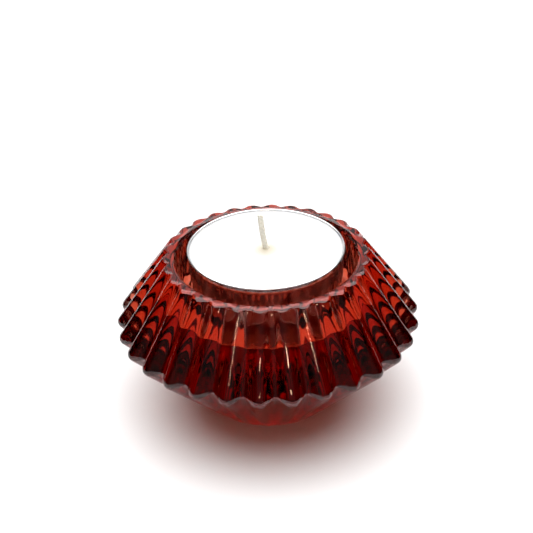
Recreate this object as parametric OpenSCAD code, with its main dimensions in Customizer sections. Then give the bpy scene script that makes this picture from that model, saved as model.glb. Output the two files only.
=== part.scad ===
// Ribbed glass tealight holder with its tealight.
// The glass is a pressed double cone: ribs run from a small foot out to the
// widest level, the girdle, and back in to the rim, which holds a round pocket.
// The tealight in the pocket is a thin aluminium cup with a wax puck in it, and
// a braided wick stands in the wax on a small metal sustainer.
// +Z is up and the origin is the centre of the foot, on the table. Sizes are mm.

/* [Glass holder] */
// Height of the glass from the table to the top of its rim
holder_h = 39; // [37:0.5:42]
// Diameter across the ribs at the girdle, the widest level
girdle_d = 74.3; // [70:0.1:80]
// Height of the girdle above the table
girdle_h = 21.4; // [20:0.1:23]
// Diameter across the ribs at the rim
rim_d = 50.2; // [50.2:0.1:54]
// Diameter across the ribs at the foot
foot_d = 34; // [31:0.5:37]
// Number of ribs around the glass
rib_count = 30; // [24:1:36]
// Depth of the valleys between the ribs at the girdle
girdle_rib_depth = 2.6; // [1.5:0.1:3]
// Depth of the valleys between the ribs at the rim
rim_rib_depth = 1; // [0.5:0.1:1.1]
// Depth of the valleys between the ribs at the foot
foot_rib_depth = 0.15; // [0.1:0.05:0.5]

/* [Pocket] */
// Diameter of the pocket that the tealight stands in
pocket_d = 44; // [42:0.5:44]
// Depth of the pocket below the rim
pocket_depth = 13; // [11:0.5:14.5]

/* [Tealight cup] */
// Diameter of the cup over its rolled rim
cup_d = 38; // [37:0.5:39]
// Height of the cup
cup_h = 15; // [14:0.5:17]
// Thickness of the cup's aluminium
cup_wall = 0.3; // [0.2:0.05:0.4]

/* [Candle] */
// Distance from the top of the wax up to the top of the cup's rim
wax_below_rim = 0.7; // [0.4:0.1:2]
// Length of wick that stands out of the wax
wick_free = 9.8; // [6:0.2:14]
// Sideways lean of the wick's tip, towards -X
wick_lean = 1.1; // [0:0.1:2]
// Diameter of the sustainer's disc
sustainer_d = 15; // [12:0.5:18]

/* [Hidden] */
round_fn = 96;
cut = 1;

// Glass
rib_segments = 6;
arc_steps = 4;
hump_fullness = 0.85;
valley_fillet = 0.5;
crest_round = 1.8;
valley_round = 0.8;
valley_rise = 0.3;
nose_setback = 0.296;
foot_round = 0.6;
foot_steps = 2;
lower_steps = 6;
upper_steps = 2;
rim_steps = 2;
lower_rib_fade = 0.6;
rim_round = 1.8;
rim_flat_w = 0.1;
mouth_round = 0.8;
pocket_floor_round = 0.8;
pocket_r = pocket_d / 2;
pocket_floor_z = holder_h - pocket_depth;

// Tealight cup, measured up from the pocket's floor
cup_rim_z = pocket_floor_z + cup_h;
bead_r = 0.3;
cup_wall_top_r = cup_d / 2 - bead_r;
cup_draft = 0.35;
cup_wall_foot_r = cup_wall_top_r - cup_draft;
cup_corner = 1.2;
cup_panel_r = 14.5;
cup_panel_rise = 0.5;
cup_panel_slope = 0.6;
candle_z = pocket_floor_z + cup_panel_rise + cup_wall;

// Wax, wick and sustainer
wax_top_z = cup_rim_z - wax_below_rim;
wax_gap = 0.15;
wax_chamfer = 0.6;
wax_edge_round = 0.4;
sustainer_t = 0.3;
neck_h = 3;
neck_foot_r = 1.7;
neck_top_r = 1.2;
neck_bore_r = 0.85;
fit_gap = 0.15;
wick_half_w = 0.75;
wick_half_t = 0.5;
wick_sides = 12;
wick_steps = 14;

// Points of an arc about a centre, from angle a0 to angle a1
function arc(centre, r, a0, a1, steps) =
    [for (i = [0:steps]) let (a = a0 + (a1 - a0) * i / steps) centre + r * [cos(a), sin(a)]];

// Points of an arc of radius r that rounds the corner b of the path a, b, c
function rounded(a, b, c, r, steps) =
    let (
        u = (a - b) / norm(a - b),
        v = (c - b) / norm(c - b),
        half = acos(u * v) / 2,
        centre = b + (u + v) / norm(u + v) * r / sin(half),
        from = b + u * r / tan(half) - centre,
        to = b + v * r / tan(half) - centre,
        a0 = atan2(from.y, from.x),
        turn = atan2(to.y, to.x) - a0,
        short = turn > 180 ? turn - 360 : turn < -180 ? turn + 360 : turn
    )
    arc(centre, r, a0, a0 + short, steps);

// Points spaced evenly inside the stretch from a to b
function between(a, b, steps) = [for (i = [1:steps]) a + (b - a) * i / (steps + 1)];

// Outline of the glass in the plane of a crest (sunk = 0) or of a valley (sunk = 1),
// from the edge of the foot's flat up to the flat of the rim
function glass_outline(sunk) =
    let (
        foot_flat = [foot_d / 2 - foot_rib_depth - foot_round, 0],
        foot = [foot_d / 2 - sunk * foot_rib_depth, 0],
        nose_r = crest_round + sunk * (valley_round - crest_round),
        girdle = [
            girdle_d / 2 - sunk * girdle_rib_depth + nose_r * nose_setback,
            girdle_h + sunk * valley_rise
        ],
        rim = [rim_d / 2 - sunk * rim_rib_depth, holder_h],
        rim_flat = [pocket_r + mouth_round + rim_flat_w, holder_h],
        foot_arc = rounded(foot_flat, foot, girdle, foot_round, foot_steps),
        nose_arc = rounded(foot, girdle, rim, nose_r, arc_steps),
        rim_arc = rounded(girdle, rim, rim_flat, rim_round, rim_steps)
    )
    concat(
        [foot_flat],
        foot_arc,
        between(foot_arc[foot_steps], nose_arc[0], lower_steps),
        nose_arc,
        between(nose_arc[arc_steps], rim_arc[0], upper_steps),
        rim_arc,
        [rim_flat]
    );

// Share of a valley's full depth at point k of the outline: it grows up the lower cone
function valley_share(k) =
    let (up = (k - foot_steps - 1) / lower_steps)
    up > 0 && up < 1 ? pow(up, lower_rib_fade) : 1;

// Height of a circular section at a share of the way from its edge (0) to its middle (1)
function section(share) = sqrt(1 - pow(hump_fullness * (1 - share), 2));

// Height of a rib's section: 1 on the round crest, 0 in the filleted valleys at u = -1 and 1
function hump(u) =
    let (
        from_valley = 1 - abs(u),
        filleted = (from_valley * from_valley / valley_fillet + valley_fillet) / 2,
        share = from_valley < valley_fillet ? filleted : from_valley,
        low = section(valley_fillet / 2)
    )
    (section(share) - low) / (1 - low);

// The ribbed double cone, solid, with a crest on +X
module ribbed_body() {
    crest = glass_outline(0);
    valley = glass_outline(1);
    around = rib_count * rib_segments;
    top = len(crest) - 1;
    points = [
        for (k = [0:top], j = [0:around - 1])
            let (
                u = 2 * (j % rib_segments) / rib_segments - 1,
                p = crest[k] + (valley[k] - crest[k]) * (1 - hump(u)) * valley_share(k),
                a = 360 * (j / rib_segments - 0.5) / rib_count
            )
            [p.x * cos(a), p.x * sin(a), p.y]
    ];
    sides = [
        for (k = [0:top - 1], j = [0:around - 1], half = [0, 1])
            let (
                low = k * around + j,
                low_next = k * around + (j + 1) % around,
                high = low + around,
                high_next = low_next + around
            )
            half == 0 ? [low, high, high_next] : [low, high_next, low_next]
    ];
    foot_cap = [for (j = [0:around - 1]) j];
    rim_cap = [for (j = [around - 1:-1:0]) top * around + j];
    polyhedron(points, concat([foot_cap], sides, [rim_cap]));
}

// The pocket's space: a flat floor with a rounded corner, a straight wall and a rounded mouth
module pocket_space() {
    floor_arc = arc([pocket_r - pocket_floor_round, pocket_floor_z + pocket_floor_round],
                    pocket_floor_round, -90, 0, arc_steps);
    mouth_arc = arc([pocket_r + mouth_round, holder_h - mouth_round],
                    mouth_round, 180, 90, arc_steps);
    rotate_extrude($fn = round_fn)
        polygon(concat(
            [[0, pocket_floor_z]],
            floor_arc,
            mouth_arc,
            [[pocket_r + mouth_round, holder_h + cut], [0, holder_h + cut]]
        ));
}

module glass_holder() {
    color([0.55, 0.07, 0.06, 0.8])
        difference() {
            ribbed_body();
            pocket_space();
        }
}

// Outline of the cup's outer skin, shrunk by inset to give its inner skin
function cup_skin(inset) =
    let (
        base_z = pocket_floor_z + inset,
        corner = cup_corner - inset,
        wall_foot = cup_wall_foot_r - inset,
        panel = cup_panel_r - inset * 0.5
    )
    concat(
        [
            [0, base_z + cup_panel_rise],
            [panel, base_z + cup_panel_rise],
            [panel + cup_panel_slope, base_z]
        ],
        arc([wall_foot - corner, base_z + corner], corner, -90, 0, arc_steps),
        [[cup_wall_top_r - inset, cup_rim_z - bead_r]]
    );

// Drawn aluminium cup with a raised base panel and a rolled rim
module tealight_cup() {
    outer = cup_skin(0);
    inner = cup_skin(cup_wall);
    color([0.85, 0.85, 0.86])
        rotate_extrude($fn = round_fn)
            union() {
                polygon(concat(outer, [for (i = [len(inner) - 1:-1:0]) inner[i]]));
                translate([cup_wall_top_r, cup_rim_z - bead_r])
                    circle(r = bead_r, $fn = 24);
            }
}

// Wax puck: it stands on the cup's base panel, clear of the cup's wall
module wax() {
    foot_r = cup_wall_foot_r - cup_wall - wax_gap;
    top_r = cup_wall_top_r - cup_wall - wax_gap;
    edge_arc = arc([top_r - wax_edge_round, wax_top_z - wax_edge_round], wax_edge_round, 0, 90, 3);
    disc_space_r = sustainer_d / 2 + fit_gap;
    disc_space_z = candle_z + sustainer_t + fit_gap;
    neck_top_z = candle_z + sustainer_t + neck_h;
    neck_space_z = neck_top_z + fit_gap;
    color([0.97, 0.96, 0.94])
        rotate_extrude($fn = round_fn)
            polygon(concat(
                [
                    [disc_space_r, candle_z],
                    [foot_r - wax_chamfer, candle_z],
                    [foot_r, candle_z + wax_chamfer]
                ],
                edge_arc,
                [
                    [neck_bore_r, wax_top_z],
                    [neck_bore_r, neck_space_z],
                    [neck_top_r + fit_gap, neck_space_z],
                    [neck_foot_r + fit_gap, disc_space_z],
                    [disc_space_r, disc_space_z]
                ]
            ));
}

// Flat braided wick: upright in the wax, then it leans over in a gentle bend
module wick() {
    length = wax_top_z + wick_free - candle_z;
    stations = [
        for (i = [0:wick_steps])
            let (
                h = length * i / wick_steps,
                out = max(0, h - (length - wick_free)) / wick_free
            )
            [-wick_lean * out * (1.7 - 0.7 * out), candle_z + h]
    ];
    points = [
        for (s = stations, j = [0:wick_sides - 1])
            let (a = 360 * j / wick_sides)
            [s.x + wick_half_w * cos(a), wick_half_t * sin(a), s.y]
    ];
    sides = [
        for (k = [0:wick_steps - 1], j = [0:wick_sides - 1], half = [0, 1])
            let (
                low = k * wick_sides + j,
                low_next = k * wick_sides + (j + 1) % wick_sides,
                high = low + wick_sides,
                high_next = low_next + wick_sides
            )
            half == 0 ? [low, high, high_next] : [low, high_next, low_next]
    ];
    foot_cap = [for (j = [0:wick_sides - 1]) j];
    tip_cap = [for (j = [wick_sides - 1:-1:0]) wick_steps * wick_sides + j];
    color([0.93, 0.89, 0.78])
        polyhedron(points, concat([foot_cap], sides, [tip_cap]));
}

// Stamped sustainer: a thin disc with a tapered neck that grips the foot of the wick
module wick_sustainer() {
    neck_z = candle_z + sustainer_t;
    color([0.7, 0.71, 0.73])
        rotate_extrude($fn = round_fn)
            polygon([
                [neck_bore_r, candle_z],
                [sustainer_d / 2, candle_z],
                [sustainer_d / 2, neck_z],
                [neck_foot_r, neck_z],
                [neck_top_r, neck_z + neck_h],
                [neck_bore_r, neck_z + neck_h]
            ]);
}

glass_holder();
tealight_cup();
wax();
wick();
wick_sustainer();
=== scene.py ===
"""Ribbed ruby glass tealight holder with its tealight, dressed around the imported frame.

Each of the five CAD nodes is replaced by one object. Lengths are in metres.
"""

import math

import bmesh
import bpy
from mathutils import Matrix, Vector, noise


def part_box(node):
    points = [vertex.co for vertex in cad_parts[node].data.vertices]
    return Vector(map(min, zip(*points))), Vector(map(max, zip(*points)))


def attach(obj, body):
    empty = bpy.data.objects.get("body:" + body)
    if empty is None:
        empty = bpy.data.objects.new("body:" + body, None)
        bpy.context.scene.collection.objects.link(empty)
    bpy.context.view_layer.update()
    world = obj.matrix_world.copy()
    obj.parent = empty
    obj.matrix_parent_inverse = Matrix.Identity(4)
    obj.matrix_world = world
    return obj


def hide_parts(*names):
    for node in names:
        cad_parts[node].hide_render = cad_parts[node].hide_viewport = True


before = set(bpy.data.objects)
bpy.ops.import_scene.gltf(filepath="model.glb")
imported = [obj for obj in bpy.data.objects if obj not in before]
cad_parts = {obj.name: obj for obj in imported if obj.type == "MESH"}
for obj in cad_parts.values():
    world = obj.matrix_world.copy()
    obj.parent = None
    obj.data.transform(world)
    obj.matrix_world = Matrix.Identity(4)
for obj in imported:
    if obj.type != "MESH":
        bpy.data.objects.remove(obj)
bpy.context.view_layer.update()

MM = 0.001

# Sizes read from the frame
_, GLASS_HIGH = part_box("glass_holder")
CUP_LOW, CUP_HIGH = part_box("tealight_cup")
WAX_LOW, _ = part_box("wax")
WICK_LOW, WICK_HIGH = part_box("wick")
SUSTAINER_LOW, SUSTAINER_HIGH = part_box("wick_sustainer")

# The glass, with the sizes of the CAD model
RIM_Z = GLASS_HIGH.z
GIRDLE_R = GLASS_HIGH.x
GIRDLE_Z = 21.4 * MM
RIM_R = 25.1 * MM
FOOT_R = 17.0 * MM
RIB_COUNT = 30
GIRDLE_RIB_DEPTH = 2.6 * MM
RIM_RIB_DEPTH = 1.0 * MM
FOOT_RIB_DEPTH = 0.15 * MM
VALLEY_RISE = 0.3 * MM
CREST_ROUND = 1.8 * MM
VALLEY_ROUND = 0.8 * MM
FOOT_ROUND = 0.6 * MM
POCKET_R = 22.0 * MM
POCKET_Z = CUP_LOW.z
POCKET_FLOOR_ROUND = 0.8 * MM

# How far the girdle's sharp corner lies outside its rounded nose, as a share of the nose's radius
NOSE_SETBACK = 0.296

# A rib's section: how much of a half circle it spans, and the share of each half that its valley fillet takes
HUMP_FULLNESS = 0.85
VALLEY_FILLET = 0.5

# The power with which the ribs deepen from the foot to the girdle: below 1 they deepen early
LOWER_RIB_FADE = 0.6

# The glass's top edge, rounded a little tighter outside and softer inside than in the CAD model
RIM_ROUND = 1.6 * MM
RIM_FLAT_R = 23.22 * MM
MOUTH_ROUND = 1.2 * MM

# How finely the glass is divided: steps up each stretch of its outline, and places across one rib,
# from a valley (-1) over the crest (0) to just short of the next valley (1)
FOOT_STEPS = 5
LOWER_STEPS = 16
NOSE_STEPS = 10
UPPER_STEPS = 16
RIM_STEPS = 7
RIB_SAMPLES = [-1, -0.97, -0.94, -0.9, -0.84, -0.76, -0.66, -0.52, -0.36, -0.18,
               0, 0.18, 0.36, 0.52, 0.66, 0.76, 0.84, 0.9, 0.94, 0.97]
UNDERSIDE_RINGS = (5 * MM, 10 * MM, 14 * MM)

# Unevenness of the glass's skin: depth, waves per metre, and how much faster it changes up than across
SWELL_DEPTH = 0.016 * MM
SWELL_RATE = 130
SWELL_UPWARD = 1.4
RIPPLE_DEPTH = 0.012 * MM
RIPPLE_RATE = 420
RIPPLE_SHIFT = Vector((7, 3, 5))

# The cup
CUP_R = CUP_HIGH.x
CUP_RIM_Z = CUP_HIGH.z
CUP_WALL = 0.3 * MM
BEAD_R = 0.3 * MM
BEAD_NECK = 0.25 * MM
CUP_DRAFT = 0.35 * MM
CUP_CORNER = 1.2 * MM
CUP_PANEL_R = 14.5 * MM
CUP_PANEL_RISE = 0.5 * MM
CUP_PANEL_SLOPE = 0.6 * MM
CRUMPLE_DEPTH = 0.03 * MM
CRUMPLE_RATE = 160

# The wax: a puck whose edge creeps up the cup, drawn up round the wick
WAX_FOOT_R = 17.9 * MM
WAX_TOP_Z = CUP_RIM_Z - 0.7 * MM
WAX_EDGE_R = CUP_R - 2 * BEAD_R - 0.03 * MM
WAX_CREEP = 0.32 * MM
WAX_CREEP_WIDTH = 0.4 * MM
WAX_CREEP_END = 1.4 * MM
WAX_LEVEL_END_R = 1.2 * MM
WAX_LIP_RINGS = (1.05 * MM, 0.95 * MM, 0.87 * MM)
WAX_HOLE_R = 0.85 * MM
MOUND_HEIGHT = 0.55 * MM
MOUND_R = 1.5 * MM
MOUND_SINK = 0.05 * MM
WAX_SWELL = 0.05 * MM
WAX_SWELL_RATE = 110
WAX_SWELL_BELOW = 0.6 * MM

# The wick: three strands that cross in a flat braid
WICK_LEAN = 1.1 * MM
WICK_TIP_GAP = 0.3 * MM
BRAID_PITCH = 2.6 * MM
BRAID_HALF_WIDTH = 0.34 * MM
BRAID_HALF_THICKNESS = 0.12 * MM
STRAND_R = 0.38 * MM
STRAND_END_R = 0.02 * MM
STRAND_STEPS = 150
STRAND_SIDES = 12

# The sustainer
SUSTAINER_SHEET = 0.3 * MM
STIFFENER_RISE = 0.1 * MM
CRIMP_START = 1.2 * MM
CRIMP_LENGTH = 0.8 * MM
CRIMP_WIDENS = 0.1
CRIMP_NARROWS = 0.22

# Colours of the materials, with the glass's density and the distances over which the wax's stain fades
RUBY_SURFACE = (0.98, 0.93, 0.93)
RUBY_DEPTH = (0.85, 0.4, 0.23)
RUBY_DENSITY = 240.0
GLASS_IOR = 1.52
ALUMINIUM_TONES = ((0.84, 0.84, 0.85), (0.92, 0.92, 0.93))
WAX_TONES = ((0.74, 0.735, 0.73), (0.79, 0.785, 0.78))
WICK_STAIN = (0.62, 0.56, 0.44)
STAIN_EDGE = (0.4 * MM, 5.0 * MM)
COTTON_TONES = ((0.96, 0.9, 0.76), (1.0, 0.97, 0.87))
TIN_TONES = ((0.62, 0.63, 0.65), (0.74, 0.75, 0.77))
PAPER_WHITE = (0.86, 0.85, 0.85)

# The camera, with its angles in degrees, and its lens and sensor in millimetres
CAMERA_AZIMUTH = 268.2
CAMERA_ELEVATION = 31.4
CAMERA_DISTANCE = 315.7 * MM
CAMERA_ROLL = -1.8
CAMERA_LENS = 88.1
CAMERA_SENSOR = 36
CAMERA_CLIP = 0.005
CAMERA_TARGET = Vector((0, 0, 35.4 * MM))

# The room's light. Each edge is the pair of cosines between which a light fades in.
ROOM_BACK = (0, 1, 0)
BACKDROP_EDGE = (0.75, 0.9)
BACKDROP_LIGHT = 0.6
FRONT_EDGE = (-0.5, -0.8)
FRONT_LIGHT = 0.1
SKY_TILT = 10
SKY_EDGE = (0.66, 0.79)
SKY_LIGHT = 3.5
SEEN_WHITE = 0.99

# Two narrow warm lamps in front, whose glints show on the ribs
LAMP_PLACES = {"lamp_high": (0, -0.76, 0.541), "lamp_low": (0, -0.78, 0.509)}
LAMP_TARGET = (0, 0, 0.03)
LAMP_SIZE = (0.2, 0.01)
LAMP_POWER = 0.2
LAMP_COLOUR = (1.0, 0.75, 0.47)

# The paper on which the holder stands
PAPER_X = (-0.22, 0.22)
PAPER_Y = (-0.3, 0.6)
PAPER_Z = -0.05 * MM


# ---------------------------------------------------------------- outlines

def arc(centre, radius, start, end, steps):
    """Points of an arc, in degrees, from start to end."""
    turns = [math.radians(start + (end - start) * i / steps) for i in range(steps + 1)]
    return [centre + radius * Vector((math.cos(t), math.sin(t))) for t in turns]


def rounded(a, b, c, radius, steps):
    """Points of the arc that rounds the corner b of the path a, b, c."""
    u = (a - b).normalized()
    v = (c - b).normalized()
    half = u.angle(v) / 2
    centre = b + (u + v).normalized() * radius / math.sin(half)
    first = b + u * radius / math.tan(half) - centre
    last = b + v * radius / math.tan(half) - centre
    start = math.degrees(math.atan2(first.y, first.x))
    turn = math.degrees(math.atan2(last.y, last.x)) - start
    turn = (turn + 180) % 360 - 180
    return arc(centre, radius, start, start + turn, steps)


def between(a, b, steps):
    """Points spaced evenly inside the stretch from a to b."""
    return [a.lerp(b, i / (steps + 1)) for i in range(1, steps + 1)]


def points(pairs):
    """Outline points of (radius, z) pairs."""
    return [Vector(pair) for pair in pairs]


# ---------------------------------------------------------------- meshes

def new_piece(name, mesh):
    """A smoothly shaded object of a mesh."""
    for polygon in mesh.polygons:
        polygon.use_smooth = True
    piece = bpy.data.objects.new(name, mesh)
    bpy.context.scene.collection.objects.link(piece)
    return piece


def skin(name, rings, closed=False):
    """A mesh over a stack of rings. A ring of one point is a pole, and closed joins the last to the first."""
    corners = []
    starts = []
    for ring in rings:
        starts.append(len(corners))
        corners.extend(ring)
    faces = []
    pairs = list(range(len(rings) - 1)) + ([len(rings) - 1] if closed else [])
    for k in pairs:
        k_next = (k + 1) % len(rings)
        low, high = rings[k], rings[k_next]
        a, b = starts[k], starts[k_next]
        count = max(len(low), len(high))
        for j in range(count):
            j_next = (j + 1) % count
            if len(low) == 1:
                faces.append((a, b + j_next, b + j))
            elif len(high) == 1:
                faces.append((a + j, a + j_next, b))
            else:
                faces.append((a + j, a + j_next, b + j_next, b + j))
    mesh = bpy.data.meshes.new(name)
    mesh.from_pydata([tuple(p) for p in corners], [], faces)
    mesh.validate()
    mesh.update()
    return new_piece(name, mesh)


def circle_ring(radius, z, count):
    """Points evenly round a level circle."""
    turns = [2 * math.pi * j / count for j in range(count)]
    return [Vector((radius * math.cos(t), radius * math.sin(t), z)) for t in turns]


def lathe(name, outline, count, wobble, closed=False):
    """A turned mesh of an outline of (radius, z) points, made uneven by wobble. An axis point is a pole."""
    rings = []
    for p in outline:
        if p.x < 1e-7:
            rings.append([Vector((0, 0, p.y))])
        else:
            rings.append([wobble(q) for q in circle_ring(p.x, p.y, count)])
    return skin(name, rings, closed)


def fix_normals(piece):
    """Turns every face of a closed piece outwards."""
    shape = bmesh.new()
    shape.from_mesh(piece.data)
    bmesh.ops.recalc_face_normals(shape, faces=shape.faces)
    shape.to_mesh(piece.data)
    shape.free()


def join(name, pieces):
    """Joins pieces into one object."""
    shape = bmesh.new()
    for piece in pieces:
        shape.from_mesh(piece.data)
    mesh = bpy.data.meshes.new(name)
    shape.to_mesh(mesh)
    shape.free()
    for piece in pieces:
        bpy.data.objects.remove(piece)
    return new_piece(name, mesh)


# ---------------------------------------------------------------- glass

def hump(u):
    """Height of a rib's rounded section, 1 on the crest (u 0) and 0 in the filleted valley (u -1 or 1)."""
    def section(reach):
        return math.sqrt(1 - (HUMP_FULLNESS * (1 - reach)) ** 2)

    from_valley = 1 - abs(u)
    if from_valley < VALLEY_FILLET:
        reach = (from_valley ** 2 / VALLEY_FILLET + VALLEY_FILLET) / 2
    else:
        reach = from_valley
    low = section(VALLEY_FILLET / 2)
    return (section(reach) - low) / (1 - low)


def glass_outline(sunk):
    """The glass's outer outline, foot to rim, along a crest (sunk 0) or a valley (sunk 1)."""
    nose = CREST_ROUND + sunk * (VALLEY_ROUND - CREST_ROUND)
    foot_flat = Vector((FOOT_R - FOOT_RIB_DEPTH - FOOT_ROUND, 0))
    foot = Vector((FOOT_R - sunk * FOOT_RIB_DEPTH, 0))
    girdle = Vector((GIRDLE_R - sunk * GIRDLE_RIB_DEPTH + NOSE_SETBACK * nose,
                     GIRDLE_Z + sunk * VALLEY_RISE))
    rim = Vector((RIM_R - sunk * RIM_RIB_DEPTH, RIM_Z))
    rim_flat = Vector((RIM_FLAT_R, RIM_Z))
    foot_arc = rounded(foot_flat, foot, girdle, FOOT_ROUND, FOOT_STEPS)
    nose_arc = rounded(foot, girdle, rim, nose, NOSE_STEPS)
    rim_arc = rounded(girdle, rim, rim_flat, RIM_ROUND, RIM_STEPS)
    cone = between(foot_arc[-1], nose_arc[0], LOWER_STEPS)
    if sunk:
        crest = glass_outline(0)[len(foot_arc) + 1:][:LOWER_STEPS]
        fades = [((i + 1) / LOWER_STEPS) ** LOWER_RIB_FADE for i in range(LOWER_STEPS)]
        cone = [c.lerp(v, fade) for c, v, fade in zip(crest, cone, fades)]
    upper = between(nose_arc[-1], rim_arc[0], UPPER_STEPS)
    return [foot_flat] + foot_arc + cone + nose_arc + upper + rim_arc


def fire_polish(p):
    """Soft unevenness of pressed glass, up to about 0.03 mm."""
    swell = noise.noise(Vector((p.x, p.y, p.z * SWELL_UPWARD)) * SWELL_RATE)
    ripple = noise.noise(Vector((p.x, p.y, p.z)) * RIPPLE_RATE + RIPPLE_SHIFT)
    out = Vector((p.x, p.y, 0)).normalized()
    return p + out * (SWELL_DEPTH * swell + RIPPLE_DEPTH * ripple)


def make_glass():
    """The glass in one closed skin: underside, ribbed outside, rim, pocket wall and pocket floor."""
    turns = [(i + u / 2) / RIB_COUNT * 2 * math.pi for i in range(RIB_COUNT) for u in RIB_SAMPLES]
    heights = [hump(u) for u in RIB_SAMPLES] * RIB_COUNT

    def round_ring(radius, z):
        return [Vector((radius * math.cos(t), radius * math.sin(t), z)) for t in turns]

    rings = [[Vector((0, 0, 0))]]
    for radius in UNDERSIDE_RINGS:
        rings.append(round_ring(radius, 0))
    for c, v in zip(glass_outline(0), glass_outline(1)):
        ring = []
        for t, h in zip(turns, heights):
            p = v.lerp(c, h)
            ring.append(fire_polish(Vector((p.x * math.cos(t), p.x * math.sin(t), p.y))))
        rings.append(ring)
    rings.append(round_ring((RIM_FLAT_R + POCKET_R + MOUTH_ROUND) / 2, RIM_Z))
    mouth = Vector((POCKET_R + MOUTH_ROUND, RIM_Z - MOUTH_ROUND))
    corner = Vector((POCKET_R - POCKET_FLOOR_ROUND, POCKET_Z + POCKET_FLOOR_ROUND))
    inside = arc(mouth, MOUTH_ROUND, 90, 180, 6)
    inside += between(inside[-1], Vector((POCKET_R, corner.y)), 5)
    inside += arc(corner, POCKET_FLOOR_ROUND, 0, -90, 8)
    inside += between(inside[-1], Vector((0, POCKET_Z)), 3)
    for p in inside:
        rings.append([fire_polish(q) for q in round_ring(p.x, p.y)])
    rings.append([Vector((0, 0, POCKET_Z))])
    glass = skin("glass_body", rings)
    fix_normals(glass)
    return glass


# ---------------------------------------------------------------- tealight

def cup_skin(inset):
    """One skin of the cup, from the middle of its base up to the bead, inset from the outer one."""
    base = POCKET_Z + inset
    raised = base + CUP_PANEL_RISE
    wall_top = CUP_R - BEAD_R
    wall_foot = wall_top - CUP_DRAFT - inset
    corner = CUP_CORNER - inset
    panel = CUP_PANEL_R - inset / 2
    foot = panel + CUP_PANEL_SLOPE
    outline = points([(0, raised), (5 * MM, raised), (panel - 0.1 * MM, raised), (panel, raised - 0.03 * MM),
                      (foot, base + 0.03 * MM), (foot + 0.15 * MM, base)])
    outline += arc(Vector((wall_foot - corner, base + corner)), corner, -90, 0, 6)
    top = Vector((wall_top - inset, CUP_RIM_Z - BEAD_R - BEAD_NECK))
    return outline + between(outline[-1], top, 8) + [top]


def crumple(p):
    """Slight unevenness of thin drawn aluminium."""
    out = Vector((p.x, p.y, 0))
    if out.length < 1e-6:
        return p
    wave = noise.noise(Vector((p.x, p.y, p.z * 0.5)) * CRUMPLE_RATE)
    return p + out.normalized() * CRUMPLE_DEPTH * wave


def make_cup():
    """A thin drawn cup with a raised panel in its base and a rolled bead for a rim."""
    outer = cup_skin(0)
    inner = cup_skin(CUP_WALL)
    bead = arc(Vector((CUP_R - BEAD_R, CUP_RIM_Z - BEAD_R)), BEAD_R, -35, 205, 14)
    cup = lathe("cup_shell", outer + bead + inner[::-1], 192, crumple)
    fix_normals(cup)
    return cup


def mound(radius):
    """Height of the wax's top over its level, drawn up round the wick."""
    return MOUND_HEIGHT * math.exp(-((radius / MOUND_R) ** 2)) - MOUND_SINK


def wax_swell(p):
    """Slight unevenness of the wax's top."""
    rise = noise.noise(Vector((p.x, p.y, 0)) * WAX_SWELL_RATE) * WAX_SWELL
    return p + Vector((0, 0, rise)) if p.z > WAX_TOP_Z - WAX_SWELL_BELOW else p


def make_wax():
    """The wax puck, with a recess in its underside for the sustainer and a hole for the wick."""
    top = WAX_TOP_Z
    low = WAX_LOW.z
    recess_r = SUSTAINER_HIGH.x + 0.15 * MM
    recess_z = low + 0.45 * MM
    neck_r = WAX_HOLE_R + 1.0 * MM
    neck_z = SUSTAINER_HIGH.z + 0.15 * MM
    outline = points([(neck_r, recess_z), (recess_r, recess_z), (recess_r, low),
                      (WAX_FOOT_R - 0.6 * MM, low), (WAX_FOOT_R - 0.2 * MM, low + 0.1 * MM),
                      (WAX_FOOT_R, low + 0.6 * MM)])
    outline += between(outline[-1], Vector((WAX_EDGE_R, top)), 4)
    outline.append(Vector((WAX_EDGE_R, top + WAX_CREEP)))
    for inward in (0.12 * MM, 0.3 * MM, 0.55 * MM, 0.9 * MM, WAX_CREEP_END):
        creep = WAX_CREEP * math.exp(-inward / WAX_CREEP_WIDTH)
        outline.append(Vector((WAX_EDGE_R - inward, top + creep)))
    level_steps = 13
    for i in range(1, level_steps):
        share = i / level_steps
        radius = (WAX_EDGE_R - WAX_CREEP_END) * (1 - share) + WAX_LEVEL_END_R * share
        outline.append(Vector((radius, top + mound(radius))))
    for radius in WAX_LIP_RINGS:
        outline.append(Vector((radius, top + mound(radius))))
    outline += points([(WAX_HOLE_R, neck_z), (1.35 * MM, neck_z)])
    wax = lathe("wax_puck", outline, 128, wax_swell, closed=True)
    fix_normals(wax)
    return wax


def wick_path(h):
    """Centre of the wick at a height h above its foot: upright in the wax, then leaning towards -X."""
    free = WICK_HIGH.z - WAX_TOP_Z
    out = max(0.0, WICK_LOW.z + h - WAX_TOP_Z) / free
    return Vector((-WICK_LEAN * out * (1.7 - 0.7 * out), 0, WICK_LOW.z + h))


def tube(name, centres, radii, sides):
    """A tube with closed ends through a list of centres."""
    rings = [[centres[0]]]
    for i, centre in enumerate(centres):
        ahead = centres[min(i + 1, len(centres) - 1)] - centres[max(i - 1, 0)]
        ahead.normalize()
        side = ahead.cross(Vector((0, 1, 0))).normalized()
        other = side.cross(ahead)
        turns = [2 * math.pi * j / sides for j in range(sides)]
        rings.append([centre + (side * math.cos(t) + other * math.sin(t)) * radii[i] for t in turns])
    rings.append([centres[-1]])
    return skin(name, rings)


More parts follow.
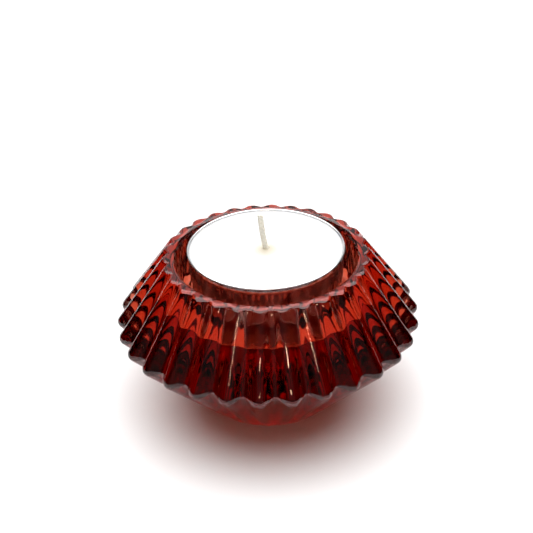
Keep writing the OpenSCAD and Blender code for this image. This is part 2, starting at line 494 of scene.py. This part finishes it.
def make_wick():
    """A flat three-strand braid, with each strand rounded off at both ends."""
    length = WICK_HIGH.z - WICK_LOW.z - WICK_TIP_GAP
    strands = []
    for k in range(3):
        centres = []
        radii = []
        for i in range(STRAND_STEPS + 1):
            h = length * i / STRAND_STEPS
            phase = 2 * math.pi * (h / BRAID_PITCH + k / 3)
            weave = Vector((BRAID_HALF_WIDTH * math.sin(phase),
                            BRAID_HALF_THICKNESS * math.sin(2 * phase), 0))
            centres.append(wick_path(h) + weave)
            end = min(1.0, (STRAND_STEPS - i) / 3, (i + 1) / 2)
            radii.append(STRAND_R * math.sqrt(1 - (1 - end) ** 2) + STRAND_END_R)
        strands.append(tube(f"wick_strand_{k}", centres, radii, STRAND_SIDES))
    wick = join("wick_braid", strands)
    fix_normals(wick)
    return wick


def make_sustainer():
    """Stamped disc with a stiffening ring, and a neck crimped on to the wick."""
    low = SUSTAINER_LOW.z
    disc = SUSTAINER_HIGH.x
    top = SUSTAINER_HIGH.z
    neck = low + SUSTAINER_SHEET
    underside = points([(0.85 * MM, low), (3.8 * MM, low), (4.2 * MM, low + STIFFENER_RISE),
                        (5.0 * MM, low + STIFFENER_RISE), (5.4 * MM, low), (disc - 0.1 * MM, low)])
    edge = points([(disc, low + 0.08 * MM), (disc, neck - 0.08 * MM), (disc - 0.1 * MM, neck)])
    upper_face = points([(5.6 * MM, neck), (5.2 * MM, neck + STIFFENER_RISE),
                         (4.0 * MM, neck + STIFFENER_RISE), (3.6 * MM, neck), (2.1 * MM, neck)])
    neck_wall = points([(1.7 * MM, neck + 0.25 * MM), (1.5 * MM, neck + 1.0 * MM),
                        (1.25 * MM, top - 0.3 * MM), (1.2 * MM, top), (0.95 * MM, top),
                        (0.87 * MM, top - 0.15 * MM)])

    def crimp(p):
        if p.z < neck + CRIMP_START:
            return p
        press = min(1.0, (p.z - neck - CRIMP_START) / CRIMP_LENGTH)
        return Vector((p.x * (1 + CRIMP_WIDENS * press), p.y * (1 - CRIMP_NARROWS * press), p.z))

    sustainer = lathe("sustainer_disc", underside + edge + upper_face + neck_wall, 96, crimp, closed=True)
    fix_normals(sustainer)
    return sustainer


# ---------------------------------------------------------------- shader nodes

def new_material(name):
    """A material with its node tree and its Principled shader."""
    material = bpy.data.materials.new(name)
    material.use_nodes = True
    tree = material.node_tree
    shader = next(n for n in tree.nodes if n.type == "BSDF_PRINCIPLED")
    return material, tree, shader


def noise_node(tree, scale, detail=4.0, stretch=(1, 1, 1)):
    """Noise over the object's own coordinates, with scale in cells per metre."""
    coords = tree.nodes.new("ShaderNodeTexCoord")
    mapping = tree.nodes.new("ShaderNodeMapping")
    mapping.inputs["Scale"].default_value = stretch
    texture = tree.nodes.new("ShaderNodeTexNoise")
    texture.inputs["Scale"].default_value = scale
    texture.inputs["Detail"].default_value = detail
    tree.links.new(coords.outputs["Object"], mapping.inputs["Vector"])
    tree.links.new(mapping.outputs["Vector"], texture.inputs["Vector"])
    return texture.outputs["Fac"]


def ramp(tree, source, tones, end=0.7):
    """A colour between two tones, as the source goes from 0.3 to end."""
    node = tree.nodes.new("ShaderNodeValToRGB")
    for element, position, tone in zip(node.color_ramp.elements, (0.3, end), tones):
        element.position = position
        element.color = (*tone, 1)
    tree.links.new(source, node.inputs["Fac"])
    return node.outputs["Color"]


def map_range(tree, source, low, high):
    """A value from low to high, as the source goes from 0.3 to 0.7."""
    node = tree.nodes.new("ShaderNodeMapRange")
    node.inputs["From Min"].default_value = 0.3
    node.inputs["From Max"].default_value = 0.7
    node.inputs["To Min"].default_value = low
    node.inputs["To Max"].default_value = high
    tree.links.new(source, node.inputs["Value"])
    return node.outputs["Result"]


def smooth_step(tree, source, edge):
    """A value that eases from 0 to 1 as the source crosses an edge, a pair of values."""
    node = tree.nodes.new("ShaderNodeMapRange")
    node.interpolation_type = "SMOOTHSTEP"
    node.inputs["From Min"].default_value = edge[0]
    node.inputs["From Max"].default_value = edge[1]
    tree.links.new(source, node.inputs["Value"])
    return node.outputs["Result"]


def bump(tree, shader, source, distance, strength):
    """Fine relief of a shader's surface."""
    node = tree.nodes.new("ShaderNodeBump")
    node.inputs["Distance"].default_value = distance
    node.inputs["Strength"].default_value = strength
    tree.links.new(source, node.inputs["Height"])
    tree.links.new(node.outputs["Normal"], shader.inputs["Normal"])


def math_node(tree, operation, source, other):
    """A value worked out from a source and another one, which is a socket or a number."""
    node = tree.nodes.new("ShaderNodeMath")
    node.operation = operation
    tree.links.new(source, node.inputs[0])
    if isinstance(other, float):
        node.inputs[1].default_value = other
    else:
        tree.links.new(other, node.inputs[1])
    return node.outputs["Value"]


def vector_math(tree, operation, source, constant=None):
    """A vector or its measure, worked out from a source and, where one is given, a constant vector."""
    node = tree.nodes.new("ShaderNodeVectorMath")
    node.operation = operation
    tree.links.new(source, node.inputs[0])
    if constant:
        node.inputs[1].default_value = constant
    return node.outputs["Value" if operation in ("DOT_PRODUCT", "LENGTH") else "Vector"]


# ---------------------------------------------------------------- materials

def ruby_glass():
    """Clear glass that takes its red from the depth of glass that light goes through."""
    material, tree, shader = new_material("ruby_glass")
    shader.inputs["Base Color"].default_value = (*RUBY_SURFACE, 1)
    shader.inputs["Transmission Weight"].default_value = 1.0
    shader.inputs["IOR"].default_value = GLASS_IOR
    haze = noise_node(tree, 90)
    tree.links.new(map_range(tree, haze, 0.0, 0.03), shader.inputs["Roughness"])
    absorption = tree.nodes.new("ShaderNodeVolumeAbsorption")
    absorption.inputs["Color"].default_value = (*RUBY_DEPTH, 1)
    absorption.inputs["Density"].default_value = RUBY_DENSITY
    output = next(n for n in tree.nodes if n.type == "OUTPUT_MATERIAL")
    tree.links.new(absorption.outputs["Volume"], output.inputs["Volume"])
    return material


def cup_aluminium():
    """Bright aluminium with fine upright marks of drawing."""
    material, tree, shader = new_material("cup_aluminium")
    shader.inputs["Metallic"].default_value = 1.0
    tone = noise_node(tree, 300, stretch=(1, 1, 0.3))
    tree.links.new(ramp(tree, tone, ALUMINIUM_TONES), shader.inputs["Base Color"])
    tree.links.new(map_range(tree, tone, 0.1, 0.22), shader.inputs["Roughness"])
    draw = noise_node(tree, 900, detail=6, stretch=(1, 1, 0.08))
    bump(tree, shader, draw, 0.02 * MM, 0.5)
    return material


def white_wax():
    """White wax, with a cream stain where it meets the wick."""
    material, tree, shader = new_material("white_wax")
    mottle = noise_node(tree, 350, detail=6)
    white = ramp(tree, mottle, WAX_TONES)
    coords = tree.nodes.new("ShaderNodeTexCoord")
    flat = vector_math(tree, "MULTIPLY", coords.outputs["Object"], (1, 1, 0))
    from_wick = vector_math(tree, "LENGTH", flat)
    tint = tree.nodes.new("ShaderNodeMix")
    tint.data_type = "RGBA"
    tint.inputs["A"].default_value = (*WICK_STAIN, 1)
    tree.links.new(smooth_step(tree, from_wick, STAIN_EDGE), tint.inputs["Factor"])
    tree.links.new(white, tint.inputs["B"])
    tree.links.new(tint.outputs["Result"], shader.inputs["Base Color"])
    tree.links.new(map_range(tree, mottle, 0.36, 0.5), shader.inputs["Roughness"])
    shader.inputs["Subsurface Weight"].default_value = 0.4
    shader.inputs["Subsurface Radius"].default_value = (1.0, 0.9, 0.8)
    shader.inputs["Subsurface Scale"].default_value = 2 * MM
    grain = noise_node(tree, 1500, detail=5)
    bump(tree, shader, grain, 0.03 * MM, 0.4)
    return material


def wick_cotton():
    """Waxed cream cotton."""
    material, tree, shader = new_material("wick_cotton")
    fibre = noise_node(tree, 2600, detail=5, stretch=(1, 1, 0.25))
    tree.links.new(ramp(tree, fibre, COTTON_TONES, end=0.65), shader.inputs["Base Color"])
    shader.inputs["Roughness"].default_value = 0.8
    shader.inputs["Sheen Weight"].default_value = 0.3
    bump(tree, shader, fibre, 0.08 * MM, 0.8)
    return material


def sustainer_metal():
    """Dull tinned steel."""
    material, tree, shader = new_material("sustainer_metal")
    shader.inputs["Metallic"].default_value = 1.0
    tone = noise_node(tree, 400)
    tree.links.new(ramp(tree, tone, TIN_TONES), shader.inputs["Base Color"])
    tree.links.new(map_range(tree, tone, 0.22, 0.4), shader.inputs["Roughness"])
    return material


def dress(piece, material, node, body):
    """Gives a piece its material and puts it in place of its CAD node."""
    piece.data.materials.clear()
    piece.data.materials.append(material)
    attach(piece, body)
    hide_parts(node)


# ---------------------------------------------------------------- stage

def make_camera():
    """The camera, placed round its target by azimuth, elevation, distance and roll."""
    azimuth = math.radians(CAMERA_AZIMUTH)
    elevation = math.radians(CAMERA_ELEVATION)
    roll = math.radians(CAMERA_ROLL)
    away = Vector((math.cos(elevation) * math.cos(azimuth), math.cos(elevation) * math.sin(azimuth),
                   math.sin(elevation)))
    level = Vector((-math.sin(azimuth), math.cos(azimuth), 0))
    upright = away.cross(level)
    right = level * math.cos(roll) + upright * math.sin(roll)
    up = upright * math.cos(roll) - level * math.sin(roll)
    data = bpy.data.cameras.new("camera")
    data.lens = CAMERA_LENS
    data.sensor_width = CAMERA_SENSOR
    data.clip_start = CAMERA_CLIP
    camera = bpy.data.objects.new("camera", data)
    turn = Matrix((right, up, away)).transposed().to_4x4()
    camera.matrix_world = Matrix.Translation(CAMERA_TARGET + away * CAMERA_DISTANCE) @ turn
    bpy.context.scene.collection.objects.link(camera)
    bpy.context.scene.camera = camera


def make_lamp(name, place):
    """A wide, narrow lamp turned towards the holder."""
    data = bpy.data.lights.new(name, "AREA")
    data.shape = "RECTANGLE"
    data.size, data.size_y = LAMP_SIZE
    data.energy = LAMP_POWER
    data.color = LAMP_COLOUR
    lamp = bpy.data.objects.new(name, data)
    lamp.location = place
    lamp.rotation_euler = (Vector(LAMP_TARGET) - Vector(place)).to_track_quat("-Z", "Y").to_euler()
    bpy.context.scene.collection.objects.link(lamp)


def make_floor():
    """A sheet of white paper under the holder, with a hair of air between the two."""
    left, right = PAPER_X
    front, back = PAPER_Y
    outline = [(left, front), (right, front), (right, back), (left, back)]
    mesh = bpy.data.meshes.new("paper_sheet")
    mesh.from_pydata([(x, y, PAPER_Z) for x, y in outline], [], [(0, 1, 2, 3)])
    floor = bpy.data.objects.new("paper_sheet", mesh)
    bpy.context.scene.collection.objects.link(floor)
    material, _, shader = new_material("paper_white")
    shader.inputs["Base Color"].default_value = (*PAPER_WHITE, 1)
    shader.inputs["Roughness"].default_value = 0.6
    mesh.materials.append(material)


def make_world():
    """A dark room with a broad soft sky that leans back, a tall white backdrop and a faint light in front.

    The camera itself sees plain white behind the holder.
    """
    world = bpy.data.worlds.new("studio")
    bpy.context.scene.world = world
    world.use_nodes = True
    tree = world.node_tree
    background = next(n for n in tree.nodes if n.type == "BACKGROUND")
    direction = tree.nodes.new("ShaderNodeTexCoord").outputs["Generated"]

    tilt = math.radians(SKY_TILT)
    overhead = vector_math(tree, "DOT_PRODUCT", direction, (0, math.sin(tilt), math.cos(tilt)))
    sky = math_node(tree, "MULTIPLY", smooth_step(tree, overhead, SKY_EDGE), SKY_LIGHT)

    flat = vector_math(tree, "MULTIPLY", direction, (1, 1, 0))
    heading = vector_math(tree, "NORMALIZE", flat)
    ahead = vector_math(tree, "DOT_PRODUCT", heading, ROOM_BACK)
    backdrop = math_node(tree, "MULTIPLY", smooth_step(tree, ahead, BACKDROP_EDGE), BACKDROP_LIGHT)

    backward = vector_math(tree, "DOT_PRODUCT", direction, ROOM_BACK)
    front = math_node(tree, "MULTIPLY", smooth_step(tree, backward, FRONT_EDGE), FRONT_LIGHT)

    lights = math_node(tree, "MAXIMUM", math_node(tree, "MAXIMUM", sky, backdrop), front)
    path = tree.nodes.new("ShaderNodeLightPath")
    pick = tree.nodes.new("ShaderNodeMix")
    pick.data_type = "FLOAT"
    pick.inputs["B"].default_value = SEEN_WHITE
    tree.links.new(path.outputs["Is Camera Ray"], pick.inputs["Factor"])
    tree.links.new(lights, pick.inputs["A"])
    tree.links.new(pick.outputs["Result"], background.inputs["Strength"])
    background.inputs["Color"].default_value = (1, 1, 1, 1)


def set_look():
    """Plain colours, and enough bounces for light to pass through many ribs."""
    scene = bpy.context.scene
    scene.view_settings.view_transform = "Standard"
    scene.cycles.max_bounces = 24
    scene.cycles.transmission_bounces = 24
    scene.cycles.glossy_bounces = 12


make_camera()
make_world()
make_floor()
for lamp_name, lamp_place in LAMP_PLACES.items():
    make_lamp(lamp_name, lamp_place)
set_look()

dress(make_glass(), ruby_glass(), "glass_holder", "holder")
dress(make_cup(), cup_aluminium(), "tealight_cup", "cup")
dress(make_wax(), white_wax(), "wax", "candle")
dress(make_wick(), wick_cotton(), "wick", "candle")
dress(make_sustainer(), sustainer_metal(), "wick_sustainer", "candle")
